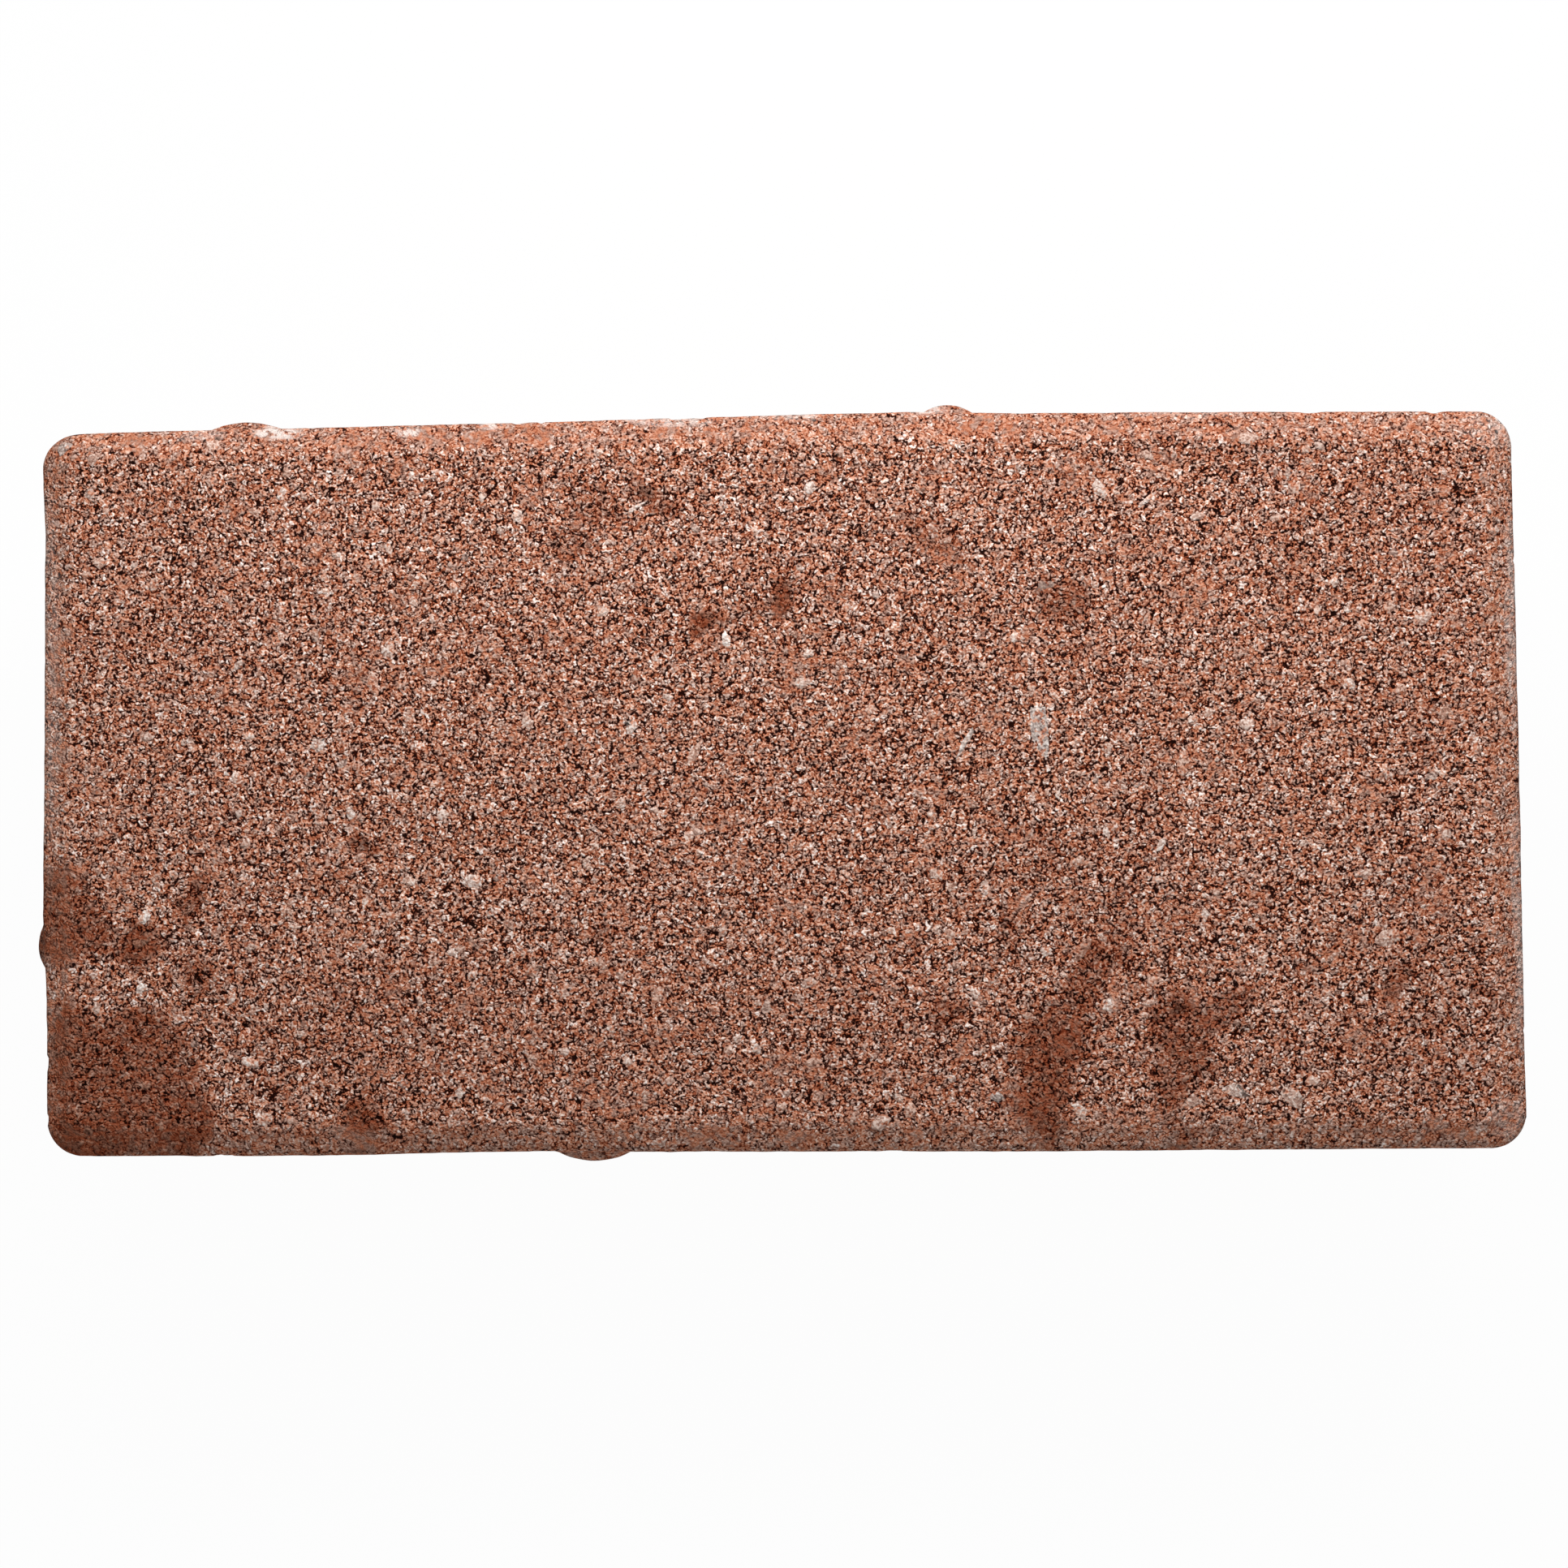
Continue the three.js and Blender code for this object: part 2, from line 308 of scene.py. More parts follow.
def rounded_outline(u, v, inset, radius):
    """Maps points u, v of a square from -1 to 1 to a rounded rectangle drawn in by inset: the
    square is stretched to the rectangle, and each corner's own square is pulled in along its
    rays to a quarter disc."""
    half = np.array([HALF_LENGTH - inset, HALF_WIDTH - inset])
    flat = np.stack([u, v], 1) * half
    centre = np.clip(flat, -(half - radius), half - radius)
    away = flat - centre
    reach = np.hypot(*away.T)
    pull = np.abs(away).max(1) / np.where(reach > 0, reach, 1)
    return centre + away * pull[:, None]


def section_radius(inset):
    """Corner radius at an inset: the wall's at the wall, the wearing face's at the face, in
    proportion between them."""
    share = np.clip(inset / FACE_INSET, 0, 1)
    return CORNER_RADIUS + (FACE_CORNER_RADIUS - CORNER_RADIUS) * share


def curve(start, control, end, rows):
    """Quadratic curve from start to end, without its first point."""
    t = np.arange(1, rows + 1)[:, None] / rows
    return (1 - t) ** 2 * start + 2 * t * (1 - t) * control + t ** 2 * end


def line(start, end, rows):
    """Even steps from start to end, without the first point."""
    t = np.arange(1, rows + 1)[:, None] / rows
    return start + t * (end - start)


def edge_section():
    """Section down the block's edge as rows of (inset, height), from the wearing face's rim to
    the bottom edge. Returns the fine rows, which have as many points round as the face, and
    the coarse rows with half as many."""
    rim = np.array([FACE_INSET, HEIGHT])
    crest = np.array([CHAMFER_WIDTH, HEIGHT])
    foot = np.array([0, HEIGHT - CHAMFER_DROP])
    slope = (crest - foot) / np.linalg.norm(crest - foot) * ARRIS_EASING
    wall_top = foot - (0, ARRIS_EASING)
    fine_end = wall_top - (0, FINE_WALL_HEIGHT)
    wall_end = np.array([0, BED_EASING])
    fine = [
        curve(rim, crest, crest - slope, CREST_ROWS),
        line(crest - slope, foot + slope, SLOPE_ROWS),
        curve(foot + slope, foot, wall_top, FOOT_ROWS),
        line(wall_top, fine_end, FINE_WALL_ROWS),
    ]
    coarse = [
        line(fine_end, wall_end, WALL_ROWS),
        curve(wall_end, (0, 0), (BED_EASING, 0), BED_ROWS),
    ]
    return np.concatenate(fine), np.concatenate(coarse)


def border(count_x, count_y):
    """Indices of the border points of a grid of count_x by count_y squares, anticlockwise
    from the south-west corner."""
    across = count_x + 1
    south = np.arange(count_x)
    east = count_x + across * np.arange(count_y)
    north = across * count_y + count_x - np.arange(count_x)
    west = across * (count_y - np.arange(count_y))
    return np.concatenate([south, east, north, west])


def grid_points(count_x, count_y):
    """Points of a square from -1 to 1 both ways, row by row from the south."""
    u, v = np.meshgrid(np.linspace(-1, 1, count_x + 1), np.linspace(-1, 1, count_y + 1))
    return u.ravel(), v.ravel()


def grid_faces(count_x, count_y):
    """Squares of a grid, anticlockwise as seen from above."""
    i, j = np.meshgrid(np.arange(count_x), np.arange(count_y))
    first = (j * (count_x + 1) + i).ravel()
    return np.stack([first, first + 1, first + count_x + 2, first + count_x + 1], 1)


def band_faces(upper, lower):
    """Faces between two closed rings of points. Rings of one length are joined by squares.
    Where the lower ring has half the points, each of its steps takes three triangles."""
    after = np.roll(lower, -1)
    if len(upper) == len(lower):
        return [np.stack([upper, lower, after, np.roll(upper, -1)], 1)]
    first, middle, last = upper[::2], upper[1::2], np.roll(upper, -2)[::2]
    return [
        np.stack([first, lower, middle], 1),
        np.stack([middle, lower, after], 1),
        np.stack([middle, after, last], 1),
    ]


def base_block():
    """The smooth block: the wearing face's grid, fine rings over the chamfer, rings of half
    the points down the wall, and a grid of squares four times as wide under it. Returns
    points, faces, the island of each face array in the bake map, and each ring point's share
    of the way round."""
    nx, ny = FACE_CELLS
    u, v = grid_points(nx, ny)
    ring = border(nx, ny)
    ring_u, ring_v = u[ring], v[ring]
    plans, heights = [rounded_outline(u, v, FACE_INSET, FACE_CORNER_RADIUS)], [HEIGHT]
    faces, islands = [grid_faces(nx, ny)], ["face"]
    total = len(u)
    fine, coarse = edge_section()
    rows = [(row, 1) for row in fine] + [(row, 2) for row in coarse]
    rows.append((((BED_EASING + BED_INSET) / 2, 0), 2))
    for number, ((inset, height), step) in enumerate(rows):
        plan = rounded_outline(ring_u[::step], ring_v[::step], inset, section_radius(inset))
        plans.append(plan)
        heights.append(height)
        band = band_faces(ring, total + np.arange(len(plan)))
        faces += band
        on_face = number < CREST_ROWS + SLOPE_ROWS
        on_bed = number >= len(fine) + WALL_ROWS
        islands += ["face" if on_face else "bed" if on_bed else "wall"] * len(band)
        ring = total + np.arange(len(plan))
        total += len(plan)
    nx, ny = nx // 4, ny // 4
    plans.append(rounded_outline(*grid_points(nx, ny), BED_INSET, FACE_CORNER_RADIUS))
    heights.append(0)
    band = band_faces(ring, total + border(nx, ny))
    faces += band + [total + grid_faces(nx, ny)[:, ::-1]]
    islands += ["bed"] * (len(band) + 1)
    lengths = [len(plan) for plan in plans]
    points = np.column_stack([np.concatenate(plans), np.repeat(heights, lengths)])
    return points, faces, islands, np.concatenate([np.arange(n) / n for n in lengths])


def in_picture(box, across, up):
    """Places in the bake picture, from shares from 0 to 1 across and up one of its boxes."""
    left, bottom, width, height = box
    return np.stack([left + width * across, bottom + height * up], -1)


def bake_map(points, faces, islands, shares):
    """A place in the bake picture for every corner of every face. The wearing face with its
    chamfer fills the upper half. The walls lie in two strips of half the way round each in
    the lower left, and the underside stands on its side in the lower right."""
    x, y, z = points.T
    across, along = x / (2 * HALF_LENGTH) + 0.5, y / (2 * HALF_WIDTH) + 0.5
    up = z / HEIGHT
    found = []
    for corners, island in zip(faces, islands):
        if island == "face":
            place = in_picture(FACE_BOX, across[corners], along[corners])
        elif island == "bed":
            place = in_picture(BED_BOX, along[corners], across[corners])
        else:
            share = shares[corners]
            wraps = np.ptp(share, axis=1, keepdims=True) > 0.5
            share = np.where(wraps & (share < 0.5), share + 1, share)
            second = share.min(1, keepdims=True) >= 0.4999
            place = in_picture(STRIP_BOX, share * 2 - second, up[corners])
            place[..., 1] += STRIP_PITCH * second
        found.append(place.reshape(-1, 2))
    return np.concatenate(found)


def point_normals(points, faces):
    """Each point's normal: the sum of its faces' normals, each weighted by its area."""
    total = np.zeros_like(points)
    for corners in faces:
        a, b, c = (points[corners[:, k]] for k in (0, 1, 2))
        d = points[corners[:, -1]]
        normal = np.cross(c - a, d - b) if corners.shape[1] == 4 else np.cross(b - a, c - a)
        for k in range(corners.shape[1]):
            for axis in range(3):
                total[:, axis] += np.bincount(corners[:, k], normal[:, axis], len(points))
    return total / np.linalg.norm(total, axis=1)[:, None]


# -------- what the casting left


def nib_rise(along, height, crest, width):
    """How far a nib stands out: a circle's bulge across its width, the crest's height at the
    middle, and a head that rounds away to nothing just under the chamfer."""
    radius = (width ** 2 / 4 + crest ** 2) / (2 * crest)
    bulge = np.sqrt(np.maximum(radius ** 2 - along ** 2, 0)) - (radius - crest)
    head = HEIGHT - NIB_HEAD_DROP
    up = np.clip((height - (head - NIB_HEAD_RISE)) / NIB_HEAD_RISE, 0, 1)
    return np.maximum(bulge - NIB_HEAD_BITE * crest * up ** 2, 0)


def out_of_true(points):
    """Moves the points of each wall outward by its bow, fully on the wall itself and not at
    all BOW_REACH inside it, and adds the nibs."""
    x, y, z = points.T
    moved = points.copy()
    for name, (east, north) in WALLS.items():
        along, half = (x, HALF_WIDTH) if north else (y, HALF_LENGTH)
        share = smooth_step(half - BOW_REACH, half, x * east + y * north)
        push = np.interp(along, *np.array(WALL_BOWS[name]).T) * share
        for wall, place, crest, width in NIBS:
            if wall == name:
                push += nib_rise(along - place, z, crest, width) * (share > 0.99)
        moved[:, :2] += push[:, None] * (east, north)
    return moved


def blobs(points, table, wander, seed):
    """Soft-edged ellipses: 1 inside, 0 outside, times each one's strength. Noise shifts every
    point by up to wander first, so that the edges aren't plain ellipses."""
    bent = points[:, :2] + wander * np.stack(
        [layered_noise(points, size=4.0, seed=seed + k) for k in range(2)], 1)
    found = np.zeros(len(points))
    for x, y, long, wide, strength, *turn in table:
        angle = math.radians(*turn) if turn else 0.0
        c, s = math.cos(angle), math.sin(angle)
        away = bent - (x, y)
        reach = np.hypot((away @ (c, s)) / long, (away @ (-s, c)) / wide)
        found = np.maximum(found, strength * smooth_step(1.25, 0.70, reach))
    return found


def damp_at(points):
    """How damp the stone is, from 0 to 1, as if the stains went straight down through it."""
    return blobs(points, STAINS, STAIN_WANDER, seed=111)


def weather_reach(points, depth, seed):
    """1 on the face and the top of the walls, falling to 0 about depth millimetres below the
    face, along a line that wanders up and down round the stone."""
    wander = 0.5 * layered_noise(points * (1, 1, 0), size=12.0, seed=seed)
    wander += 0.2 * layered_noise(points, size=5.0, seed=seed + 9)
    below = (HEIGHT - points[:, 2]) / depth + wander
    return smooth_step(1.25, 0.25, below)


def pits(points):
    """Depth of the pits where the paste did not close, each a rounded bowl."""
    depth = np.zeros(len(points))
    for x, y, radius, deep in PITS:
        reach = np.hypot(points[:, 0] - x, points[:, 1] - y) / radius
        depth = np.maximum(depth, deep * smooth_step(1.25, 0.4, reach))
    return depth


def face_relief(points):
    """Depth of the pressed face's relief: broad dips, lumps of two sizes with crevices between
    them, and open pits. Also gives how hollow each point is."""
    dips = DIP_DEPTH * (0.5 + 0.5 * soft_noise(points, size=9.0, seed=11))
    bend = np.stack([soft_noise(points, size=1.1, seed=20 + k) for k in range(3)], 1)
    bent = points + 0.5 * bend
    gap, own = cells(bent, size=2.6, seed=31)
    open_here = smooth_step(-0.25, 0.35, layered_noise(points, size=5.0, seed=41))
    crevice = (1 - smooth_step(0.0, 0.30, gap)) * open_here
    small_gap, small_own = cells(bent, size=1.35, seed=51)
    small_crevice = 1 - smooth_step(0.05, 0.42, small_gap)
    unclosed = smooth_step(0.40, 0.66, layered_noise(points, size=1.9, seed=61, layers=2))
    depth = dips + LUMP_DEPTH * own + SMALL_LUMP_DEPTH * small_own
    depth = depth + CREVICE_DEPTH * crevice + SMALL_CREVICE_DEPTH * small_crevice
    hollow = np.clip(0.5 * crevice + 0.3 * small_crevice + unclosed, 0, 1)
    return depth + OPEN_DEPTH * unclosed + pits(points), hollow


def wall_relief(points):
    """Depth of the walls' relief: long upright drag marks, shallow dimples, and crumbs lost
    along the bottom edge. About zero on the whole, so a wall may also stand out a little.
    Also gives how hollow each point is."""
    drawn = points * (1, 1, 0.12)
    drag = DRAG_DEPTH * layered_noise(drawn, size=1.6, seed=71)
    drag = drag + DRAG_DEPTH * layered_noise(drawn, size=7.0, seed=75)
    drag = drag + DRAG_DEPTH * layered_noise(points, size=1.8, seed=81)
    dimpled = smooth_step(0.52, 0.78, layered_noise(points, size=2.6, seed=85, layers=2))
    low_edge = smooth_step(2.5, 0.0, points[:, 2])
    crumbled = smooth_step(0.1, 0.7, layered_noise(points, size=4.0, seed=91))
    dimple = WALL_DIMPLE_DEPTH * dimpled
    lost = LOST_EDGE_DEPTH * low_edge * crumbled
    return drag + dimple + lost, np.clip(2.2 * dimple + 0.8 * lost, 0, 1)


def bed_relief(points):
    """Depth of the underside's relief: the board's broad print, and dimples. Also gives how
    hollow each point is."""
    board = BOARD_DEPTH * (1 + soft_noise(points * (0.15, 1, 1), size=6.0, seed=101))
    dimpled = smooth_step(0.45, 0.8, layered_noise(points, size=3.0, seed=105, layers=2))
    dimple = BED_DIMPLE_DEPTH * dimpled
    return BED_CLEARANCE + board + dimple, np.clip(2.0 * dimple, 0, 1)


def regions(points, normals):
    """Shares of wall, chamfer and underside for every point."""
    wall = smooth_step(0.35, 0.75, 1 - np.abs(normals[:, 2]))
    bed = smooth_step(-0.5, -0.9, normals[:, 2])
    inset = np.minimum(HALF_LENGTH - np.abs(points[:, 0]), HALF_WIDTH - np.abs(points[:, 1]))
    rim = smooth_step(CHAMFER_WIDTH + 1.5, CHAMFER_WIDTH - 1.0, inset)
    return wall, rim * (1 - wall) * (1 - bed), bed


def build_mesh(name, points, faces, marks, places):
    """Puts points in millimetres, held inside the frame's box, and faces (arrays of three or
    four corners) into a mesh, with one float attribute for each mark and the bake map."""
    points = np.clip(points, box_low + BOX_MARGIN, box_high - BOX_MARGIN)
    corners = np.concatenate([f.ravel() for f in faces])
    counts = np.concatenate([np.full(len(f), f.shape[1]) for f in faces])
    mesh = bpy.data.meshes.new(name)
    mesh.vertices.add(len(points))
    mesh.vertices.foreach_set("co", (points * MM).ravel())
    mesh.loops.add(len(corners))
    mesh.loops.foreach_set("vertex_index", corners)
    mesh.polygons.add(len(counts))
    mesh.polygons.foreach_set("loop_start", np.cumsum(counts) - counts)
    mesh.polygons.foreach_set("loop_total", counts)
    mesh.update(calc_edges=True)
    mesh.shade_smooth()
    for title, values in marks.items():
        layer = mesh.attributes.new(title, "FLOAT", "POINT")
        layer.data.foreach_set("value", values.astype(np.float32))
    mesh.uv_layers.new(name="OFBake").data.foreach_set("uv", places.ravel())
    mesh.validate()
    piece = bpy.data.objects.new(name, mesh)
    bpy.context.scene.collection.objects.link(piece)
    return piece


def cast_stone():
    """The whole stone: the smooth block out of true, its relief sunk along its normals."""
    points, faces, islands, shares = base_block()
    normals = point_normals(points, faces)
    wall, chamfer, bed = regions(points, normals)
    face_depth, face_hollow = face_relief(points)
    wall_depth, wall_hollow = wall_relief(points)
    bed_depth, bed_hollow = bed_relief(points)
    face = (1 - wall - bed) * (1 - CHAMFER_CALM * chamfer)
    depth = face * face_depth + wall * wall_depth + bed * bed_depth
    hollow = face * face_hollow + wall * wall_hollow + bed * bed_hollow
    moved = out_of_true(points) - normals * depth[:, None]
    bloom = blobs(points, BLOOMS, BLOOM_WANDER, seed=121)
    # hollow goes into the tone as a little painted shade in the hollows
    marks = {
        "hollow": hollow, "wall": wall, "chamfer": chamfer,
        "damp": damp_at(points) * weather_reach(points, STAIN_RUN, seed=131),
        "bloom": bloom * weather_reach(points, BLOOM_RUN, seed=141),
    }
    places = bake_map(points, faces, islands, shares)
    piece = build_mesh("paving_stone_cast", moved, faces, marks, places)
    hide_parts(NODE)
    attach(piece, "root")
    return piece


# -------- stones in the face


def corner_reach(x, y):
    """How far each point lies out past the centres of the rounded corners, along the stone and
    across it, signed outward."""
    corner = np.array([HALF_LENGTH, HALF_WIDTH]) - CORNER_RADIUS
    flat = np.stack([x, y], 1)
    return np.maximum(np.abs(flat) - corner, 0) * np.sign(flat)


def surface_at(x, y):
    """Height and upward normal of the smooth face or chamfer at x, y."""
    over = corner_reach(x, y)
    reach = np.linalg.norm(over, axis=1)
    past_crest = reach - (CORNER_RADIUS - CHAMFER_WIDTH)
    fall = CHAMFER_DROP / CHAMFER_WIDTH
    height = HEIGHT - fall * np.maximum(past_crest, 0)
    lean = fall * (past_crest > 0) / np.maximum(reach, 0.001)
    normal = np.column_stack([over * lean[:, None], np.ones(len(x))])
    return height, normal / np.linalg.norm(normal, axis=1)[:, None]


def scattered_stones():
    """The small stones as rows for stone_shapes, kept clear of the named ones and the walls.
    Short ones and warm ones are the most common."""
    draws = np.random.default_rng(7).random((7, SMALL_STONES))
    x = (2 * draws[0] - 1) * (HALF_LENGTH - 1.5)
    y = (2 * draws[1] - 1) * (HALF_WIDTH - 1.5)
    long = 0.40 + 0.75 * draws[2] ** 2.5
    wide = long * (0.5 + 0.4 * draws[3])
    turn = 360 * draws[4]
    tone = 0.40 + 0.26 * draws[5]
    greyness = 0.5 * draws[6] ** 2
    named = np.array([stone[:3] for stone in STONES])
    away = np.hypot(x[:, None] - named[:, 0], y[:, None] - named[:, 1])
    clear = (away > named[:, 2] + 0.6).all(1)
    clear &= np.linalg.norm(corner_reach(x, y), axis=1) + long < CORNER_RADIUS - 0.2
    return np.stack([x, y, long, wide, turn, tone, greyness], 1)[clear]


def stone_triangles(count):
    """Triangles of that many stones: a fan over the middle point, two bands between the rings
    and a fan that closes the underside."""
    k = np.arange(STONE_CORNERS)
    after = (k + 1) % STONE_CORNERS
    parts = [np.stack([0 * k, 1 + k, 1 + after], 1)]
    for inner in (1, 1 + STONE_CORNERS):
        outer = inner + STONE_CORNERS
        parts.append(np.stack([inner + k, outer + k, outer + after], 1))
        parts.append(np.stack([inner + k, outer + after, inner + after], 1))
    parts.append(np.stack([outer + 0 * k[2:], outer + k[2:], outer + k[1:-1]], 1))
    offsets = np.arange(count) * (outer + STONE_CORNERS)
    return (np.concatenate(parts)[None] + offsets[:, None, None]).reshape(-1, 3)


def stone_shapes(table, seed):
    """Cut stones bedded in the face, the long ones less deeply: a flat broken top, a shoulder
    round it and a skirt that goes down into the paste. table has one row of x, y, half length,
    half width, turn, tone and greyness for each stone. Returns points, marks and map places."""
    rng = np.random.default_rng(seed)
    count = len(table)
    x, y, long, wide, turn, tone, greyness = table.T
    height, normal = surface_at(x, y)
    foot = np.stack([x, y, height], 1)
    depth, _ = face_relief(foot)
    angle = np.radians(turn)[:, None]
    east = (1, 0, 0) - normal * normal[:, :1]
    east /= np.linalg.norm(east, axis=1)[:, None]
    north = np.cross(normal, east)
    all_corners = (count, STONE_CORNERS)
    steps = np.arange(STONE_CORNERS) + CORNER_SHIFT * rng.standard_normal(all_corners)
    spin = 2 * np.pi * steps / STONE_CORNERS
    reach = 1 + CORNER_SPREAD * rng.standard_normal(all_corners).clip(-1.6, 1.6)
    first = np.cos(spin) * reach * long[:, None]
    second = np.sin(spin) * reach * wide[:, None]
    plan = np.stack([first * np.cos(angle) - second * np.sin(angle),
                     first * np.sin(angle) + second * np.cos(angle)], -1)
    sunk = STONE_DROP_SPREAD * rng.random(count) + STONE_IN_HOLLOW * np.minimum(depth, 0.3)
    top = -STONE_DROP - sunk / np.maximum(long, 1) ** 2
    tilt = STONE_TILT * rng.standard_normal((count, 2)) / long[:, None]
    rings, inside, rim_shades = [], [], []
    for size, drop, rim in STONE_RINGS:
        flat = plan * size
        lift = top[:, None] - drop + (flat * tilt[:, None]).sum(-1)
        lift += STONE_ROUGHNESS * rng.standard_normal(lift.shape) * (drop < 0.5)
        ring = (foot[:, None] + flat[..., :1] * east[:, None] + flat[..., 1:] * north[:, None]
                + lift[..., None] * normal[:, None])
        corners = STONE_CORNERS if size else 1
        rings.append(ring[:, :corners])
        inside.append(flat[:, :corners])
        rim_shades += [rim] * corners
    each = len(rim_shades)
    marks = {"stone_tone": tone.repeat(each), "stone_greyness": greyness.repeat(each),
             "rim": np.tile(rim_shades, count), "damp": damp_at(foot).repeat(each)}
    columns = math.ceil(math.sqrt(count))
    cell = np.stack([np.arange(count) % columns, np.arange(count) // columns], 1)
    spread = np.abs(plan).max((1, 2)) * STONE_CELL
    shares = np.concatenate(inside, 1) / spread[:, None, None]
    places = (cell[:, None] + 0.5 + shares) / columns
    return np.concatenate(rings, 1).reshape(-1, 3), marks, places.reshape(-1, 2)


def exposed_stones():
    """The named stones and the small scattered ones, as one piece."""
    named = [(*stone, *kind) for *stone, kind in STONES]
    table = np.concatenate([named, scattered_stones()])
    points, marks, places = stone_shapes(table, seed=17)
    triangles = stone_triangles(len(table))
    piece = build_mesh("exposed_stones", points, [triangles], marks, places[triangles.ravel()])
    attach(piece, "root")
    return piece


# -------- shader building blocks


def paint(red, green, blue):
    """A colour as a screen shows it, from 0 to 255, turned into the shader's linear values."""
    shares = (channel / 255 for channel in (red, green, blue))
    return (*(s / 12.92 if s <= 0.04045 else ((s + 0.055) / 1.055) ** 2.4 for s in shares), 1)


def feed(socket, value):
    """Links an output into a socket, or sets the socket to a plain value."""
    if isinstance(value, bpy.types.NodeSocket):
        socket.id_data.links.new(value, socket)
    else:
        socket.default_value = value


def add(tree, kind, inputs=None, **settings):
    """Adds a shader node with its settings and its named inputs, and returns its outputs."""
    node = tree.nodes.new("ShaderNode" + kind)
    for name, value in settings.items():
        setattr(node, name, value)
    for name, value in (inputs or {}).items():
        feed(node.inputs[name], value)
    return node.outputs


def maths(tree, operation, *values):
    """One step of arithmetic on plain numbers or outputs."""
    return add(tree, "Math", dict(enumerate(values)), operation=operation)[0]


def vectors(tree, operation, first, second):
    """One step of arithmetic on vectors; for SCALE, second is a plain number or its output."""
    second_input = "Scale" if operation == "SCALE" else 1
    return add(tree, "VectorMath", {0: first, second_input: second}, operation=operation)[0]


def summed(tree, *terms):
    """The sum of (output, weight) terms."""
    result = 0.0
    for output, weight in terms:
        result = maths(tree, "MULTIPLY_ADD", output, weight, result)
    return result


def between(tree, value, start, end, low=0.0, high=1.0):
    """Maps value from start..end to low..high with a smooth, clamped step."""
    inputs = dict(enumerate((value, start, end, low, high)))
    return add(tree, "MapRange", inputs, interpolation_type="SMOOTHSTEP")[0]


def mixed(tree, share, first, second, mode="MIX"):
    """Two colours mixed by share."""
    inputs = {0: share, 6: first, 7: second}
    return add(tree, "Mix", inputs, data_type="RGBA", blend_type=mode)[2]


def ramp(tree, value, stops):
    """A colour from value, through stops of (place, red, green, blue)."""
    found = add(tree, "ValToRGB", {"Fac": value})["Color"]
    points = found.node.color_ramp.elements
    for k, (place, *colour) in enumerate(stops):
        point = points[k] if k < 2 else points.new(place)
        point.position = place
        point.color = paint(*colour)
    return found


def noise(tree, place, size, detail=2.0):
    """Noise centred on 0.5, with features of about that size in millimetres."""
    inputs = {"Vector": place, "Scale": 1.0 / size, "Detail": detail}
    return add(tree, "TexNoise", inputs)["Fac"]


def mark(tree, name):
    """The value of one of the mesh's own attributes."""
    return add(tree, "Attribute", attribute_name=name)["Fac"]


def new_group(name, inputs, outputs):
    """A node group with named sockets. Returns its tree, its input node's outputs and its
    output node's inputs."""
    tree = bpy.data.node_groups.new(name, "ShaderNodeTree")
    kinds = {"Place": "Vector", "Colour": "Color"}
    for way, titles in (("INPUT", inputs), ("OUTPUT", outputs)):
        for title in titles:
            kind = "NodeSocket" + kinds.get(title, "Float")
            tree.interface.new_socket(title, in_out=way, socket_type=kind)
    given = tree.nodes.new("NodeGroupInput").outputs
    return tree, given, tree.nodes.new("NodeGroupOutput").inputs


def place_group(tree, group, **inputs):
    """Places a node group with its named inputs, and returns its outputs."""
    return add(tree, "Group", inputs, node_tree=group)


# -------- node groups


def packed_grains_group():
    """Grains packed side by side. Place is in millimetres, Size is a grain's width, Bend is
    how far its outline wanders and Width is half a crevice's width in shares of Size. Tone is
    one random value for each grain, Dome is high at its middle, and the gap mask is 1 in the
    crevice round it, for painted shade there."""
    tree, given, out = new_group("packed_grains", ("Place", "Size", "Bend", "Width"),
                                 ("Tone", "Dome", "Gap_shade"))
    scaled = vectors(tree, "SCALE", given["Place"], maths(tree, "DIVIDE", 1.0, given["Size"]))
    wander = add(tree, "TexNoise", {"Vector": scaled, "Scale": 1.4})["Color"]
    centred = vectors(tree, "SUBTRACT", wander, (0.5, 0.5, 0.5))
    place = vectors(tree, "ADD", scaled, vectors(tree, "SCALE", centred, given["Bend"]))
    grain = add(tree, "TexVoronoi", {"Vector": place, "Scale": 1.0})
    edge = add(tree, "TexVoronoi", {"Vector": place, "Scale": 1.0}, feature="DISTANCE_TO_EDGE")
    feed(out["Tone"], add(tree, "SeparateColor", {"Color": grain["Color"]})["Red"])
    feed(out["Dome"], maths(tree, "SUBTRACT", 1.0, grain["Distance"]))
    feed(out["Gap_shade"], between(tree, edge["Distance"], 0.0, given["Width"], 1.0, 0.0))
    return tree


def broken_cracks_group():
    """Short winding crevices between crumbs of about Size millimetres, where a noise is within
    Width of its middle value. The crevice mask is 1 in a crevice and gives painted shade there;
    the highlight mask is 1 on the crumb's edge beside it and gives a painted highlight. Dome
    rises from the crevices to the crumbs' middles."""
    tree, given, out = new_group("broken_cracks", ("Place", "Size", "Width"),
                                 ("Line", "Highlight", "Dome"))
    scale = maths(tree, "DIVIDE", 1.0, given["Size"])
    field = add(tree, "TexNoise", {"Vector": given["Place"], "Scale": scale, "Detail": 1.0,
                                   "Distortion": 0.3})["Fac"]
    level = maths(tree, "SUBTRACT", field, 0.5)
    away = maths(tree, "ABSOLUTE", level)
    line = between(tree, away, 0.0, given["Width"], 1.0, 0.0)
    gate = between(tree, noise(tree, given["Place"], size=0.5, detail=1.0), 0.36, 0.54)
    beside = maths(tree, "MULTIPLY_ADD", given["Width"], -1.7, level)
    highlight = between(tree, maths(tree, "ABSOLUTE", beside), 0.0, given["Width"], 1.0, 0.0)
    feed(out["Line"], maths(tree, "MULTIPLY", line, gate))
    feed(out["Highlight"], maths(tree, "MULTIPLY", highlight, gate))
    feed(out["Dome"], between(tree, away, 0.0, 0.16))
    return tree


